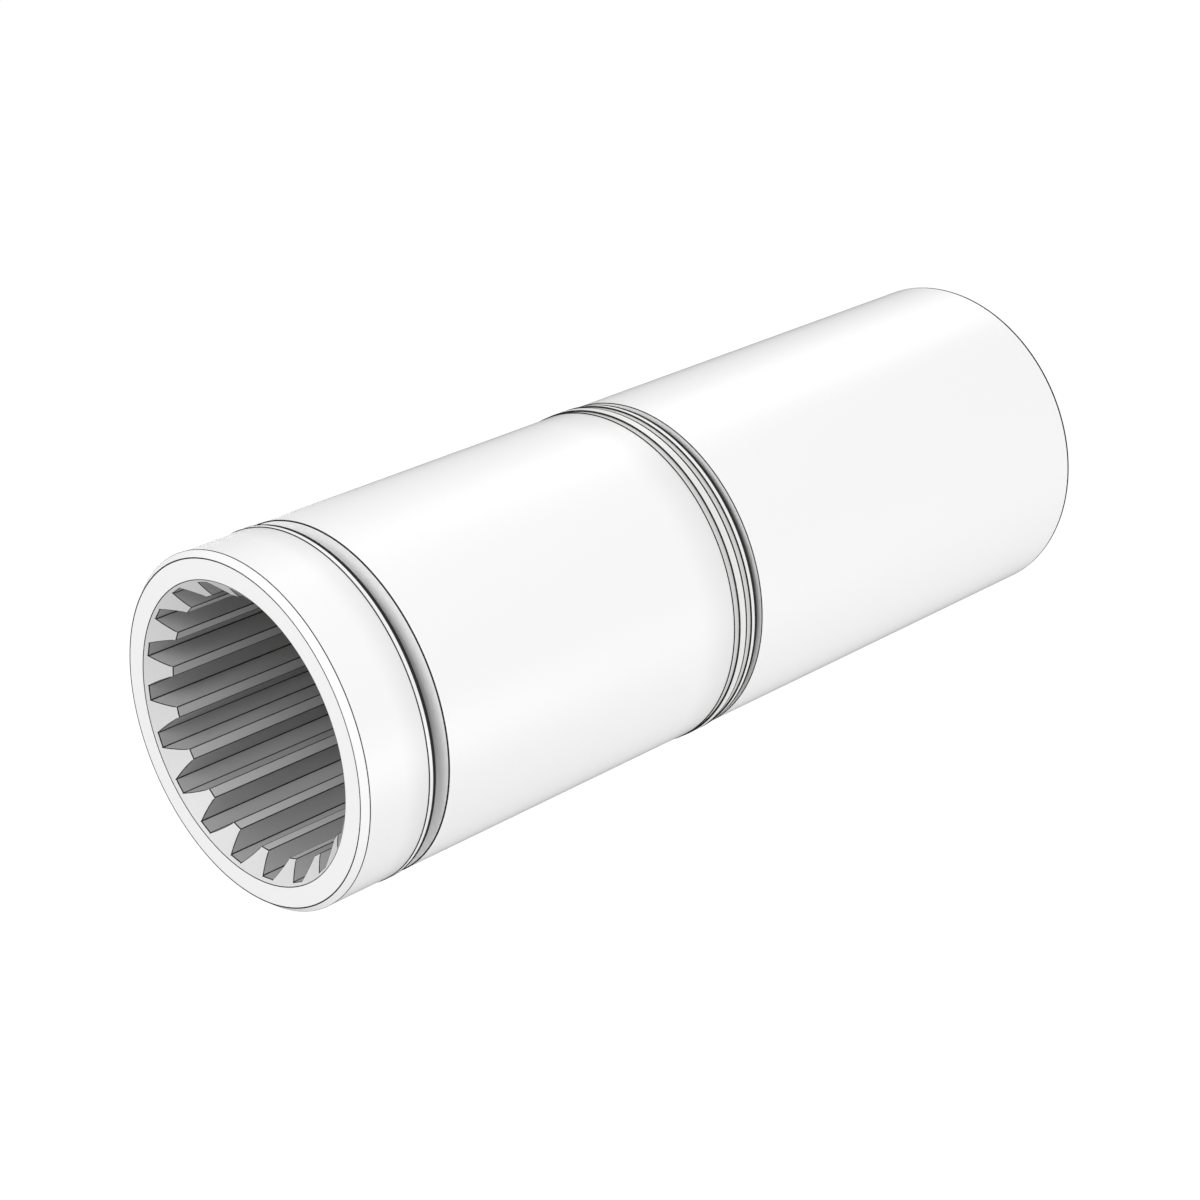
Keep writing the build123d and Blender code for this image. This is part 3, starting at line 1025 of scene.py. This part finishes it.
class SLEEVE_OT_shaft_pieces(bpy.types.Operator):
    """Adds the bush that shows in the rear bore, and gives the washer, the retaining ring and the
    hidden rings their materials
    """

    bl_idname = "sleeve.shaft_pieces"
    bl_label = "Shaft pieces"

    def execute(self, context):
        colours = context.scene.finish_colours
        bevel = context.scene.ring_sizes.bush_chamfer
        node = "shaft_bush"
        inner, outer, start, end = measures_of(node)
        corners = [
            corner(inner + bevel, start, OUTER),
            corner(outer - bevel, start, OUTER),
            corner(outer, start + bevel, OUTER),
            corner(outer, end - bevel, OUTER),
            corner(outer - bevel, end, OUTER),
            corner(inner + bevel, end, OUTER),
            corner(inner, end - bevel, OUTER),
            corner(inner, start + bevel, OUTER),
        ]
        bronze = turned_finish(
            "turned_bronze", colours.bronze, roughness=0.32, spacing=0.25, change=0.15, bump=0.2,
            metallic=1.0)
        add_piece(
            "shaft_bush_finish", turned_mesh(node, lined(corners)), [bronze],
            SLEEVE, [node])
        rubber = turned_finish("black_rubber", colours.rubber, roughness=0.6, change=0.2)
        steel = turned_finish("spring_steel", colours.groove, roughness=0.3, change=0.05, metallic=1.0)
        plastic = bpy.data.materials["seal_plastic"]
        backup = bpy.data.materials["backup_plastic"]
        for name, material in (
            ("seal_expander", rubber),
            ("joint_seal", rubber),
            ("shaft_seal_expander", rubber),
            ("joint_backup_ring", backup),
            ("shaft_backup_ring", backup),
            ("shaft_seal", plastic),
            ("support_washer", steel),
            ("retaining_ring", steel),
        ):
            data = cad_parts[name].data
            data.materials.clear()
            data.materials.append(material)
        return {"FINISHED"}


# The stage

# The square floor: half its width, its colour, and the share and strength of its white glow
FLOOR_REACH = 6.0
FLOOR_COLOUR = (0.9, 0.9, 0.9, 1.0)
GLOW_SHARE = 0.85
GLOW_STRENGTH = 1.1

# Square lamps that face the middle of the front end: name, place and width
LAMPS = (
    ("key", (0.17, -0.78, 0.77), 0.7),
    ("right", (0.45, 0.22, -0.12), 0.2),
    ("left", (-0.45, 0.22, -0.12), 0.2),
    ("back", (-0.35, 0.75, 0.60), 0.4),
)

# The camera's sensor in millimetres, and the nearest thing that it shows
SENSOR_WIDTH = 36.0
NEAREST = 10.0 * MM


def seen_by(tree, *rays):
    """A socket that is 1 for the named kinds of ray and 0 for all others."""
    path = add_node(tree, "ShaderNodeLightPath")
    seen = path.outputs[rays[0]]
    for ray in rays[1:]:
        seen = maths(tree, "MAXIMUM", seen, path.outputs[ray])
    return seen


def white_floor():
    """A matt floor that the camera and the reflections see as white, with the shadow kept."""
    material, shader = new_material("white_floor")
    tree = material.node_tree
    shader.inputs["Base Color"].default_value = FLOOR_COLOUR
    shader.inputs["Roughness"].default_value = 0.9
    shader.inputs["Specular IOR Level"].default_value = 0.0
    seen = seen_by(tree, "Is Camera Ray", "Is Glossy Ray", "Is Transmission Ray")
    share = maths(tree, "MULTIPLY", seen, GLOW_SHARE)
    glow = add_node(tree, "ShaderNodeEmission", {"Color": WHITE, "Strength": GLOW_STRENGTH})
    mixed = add_node(
        tree, "ShaderNodeMixShader", {0: share, 1: shader.outputs[0], 2: glow.outputs[0]})
    tree.links.new(mixed.outputs[0], tree.nodes["Material Output"].inputs["Surface"])
    return material


class SLEEVE_OT_stage(bpy.types.Operator):
    """Adds the floor, the light and the camera"""

    bl_idname = "sleeve.stage"
    bl_label = "Stage"

    def execute(self, context):
        stage = context.scene.stage_sizes
        self.add_floor(stage)
        self.add_light(stage)
        self.add_camera(context, stage)
        return {"FINISHED"}

    def add_floor(self, stage):
        mesh = bpy.data.meshes.new("floor")
        corners = [
            (across * FLOOR_REACH, along * FLOOR_REACH, -stage.floor_drop)
            for across, along in ((-1, -1), (1, -1), (1, 1), (-1, 1))
        ]
        mesh.from_pydata(corners, [], [(0, 1, 2, 3)])
        mesh.materials.append(white_floor())
        floor = new_object("floor", mesh)

    def add_light(self, stage):
        world = bpy.data.worlds.new("pale_studio")
        world.use_nodes = True
        bpy.context.scene.world = world
        tree = world.node_tree
        seen = seen_by(tree, "Is Camera Ray", "Is Glossy Ray")
        strength = add_node(
            tree, "ShaderNodeMapRange",
            {"Value": seen, "To Min": stage.sky_strength, "To Max": 1.0})
        background = tree.nodes["Background"]
        background.inputs["Color"].default_value = WHITE
        tree.links.new(strength.outputs["Result"], background.inputs["Strength"])
        for name, place, width in LAMPS:
            self.add_lamp(name, Vector(place), width, getattr(stage, f"{name}_power"))

    def add_lamp(self, name, place, width, power):
        lamp = bpy.data.lights.new(name, "AREA")
        lamp.size = width
        lamp.energy = power
        holder = new_object(name, lamp)
        holder.location = place
        holder.rotation_euler = (-place).to_track_quat("-Z", "Y").to_euler()

    def add_camera(self, context, stage):
        turn = stage.azimuth
        tilt = stage.elevation
        forward = Vector((-sin(turn) * cos(tilt), cos(turn) * cos(tilt), -sin(tilt)))
        right = Vector((cos(turn), sin(turn), 0.0))
        up = right.cross(forward)
        data = bpy.data.cameras.new("camera")
        data.sensor_width = SENSOR_WIDTH
        data.lens = stage.focal_length
        data.clip_start = NEAREST
        camera = new_object("camera", data)
        place = right * stage.shift_right + up * stage.shift_up - forward * stage.distance
        facing = Matrix((right, up, -forward)).transposed().to_4x4()
        camera.matrix_world = Matrix.Translation(place) @ facing
        context.scene.camera = camera
        context.scene.view_settings.view_transform = "Standard"


# Panel and registration

OPERATORS = (
    SLEEVE_OT_front_sleeve,
    SLEEVE_OT_rear_sleeve,
    SLEEVE_OT_lock_ring,
    SLEEVE_OT_seal_set,
    SLEEVE_OT_shaft_pieces,
    SLEEVE_OT_stage,
)

GROUPS = {
    "spline_sizes": SplineSizes,
    "sleeve_sizes": SleeveSizes,
    "ring_sizes": RingSizes,
    "finish_colours": FinishColours,
    "stage_sizes": StageSizes,
}


class SLEEVE_PT_panel(bpy.types.Panel):
    """Lists the pieces and their sizes"""

    bl_label = "Splined sleeve"
    bl_idname = "SLEEVE_PT_panel"
    bl_space_type = "VIEW_3D"
    bl_region_type = "UI"
    bl_category = "Splined sleeve"

    def draw(self, context):
        for operator in OPERATORS:
            self.layout.operator(operator.bl_idname)
        for name in GROUPS:
            box = self.layout.box()
            group = getattr(context.scene, name)
            for key in group.__annotations__:
                box.prop(group, key)


def register():
    for name, group in GROUPS.items():
        bpy.utils.register_class(group)
        setattr(bpy.types.Scene, name, PointerProperty(type=group))
    for operator in OPERATORS:
        bpy.utils.register_class(operator)
    bpy.utils.register_class(SLEEVE_PT_panel)


def unregister():
    bpy.utils.unregister_class(SLEEVE_PT_panel)
    for operator in reversed(OPERATORS):
        bpy.utils.unregister_class(operator)
    for name, group in reversed(GROUPS.items()):
        delattr(bpy.types.Scene, name)
        bpy.utils.unregister_class(group)


def main():
    register()
    bpy.ops.sleeve.front_sleeve()
    bpy.ops.sleeve.rear_sleeve()
    bpy.ops.sleeve.lock_ring()
    bpy.ops.sleeve.seal_set()
    bpy.ops.sleeve.shaft_pieces()
    bpy.ops.sleeve.stage()
    bpy.context.view_layer.update()


if __name__ == "__main__":
    main()
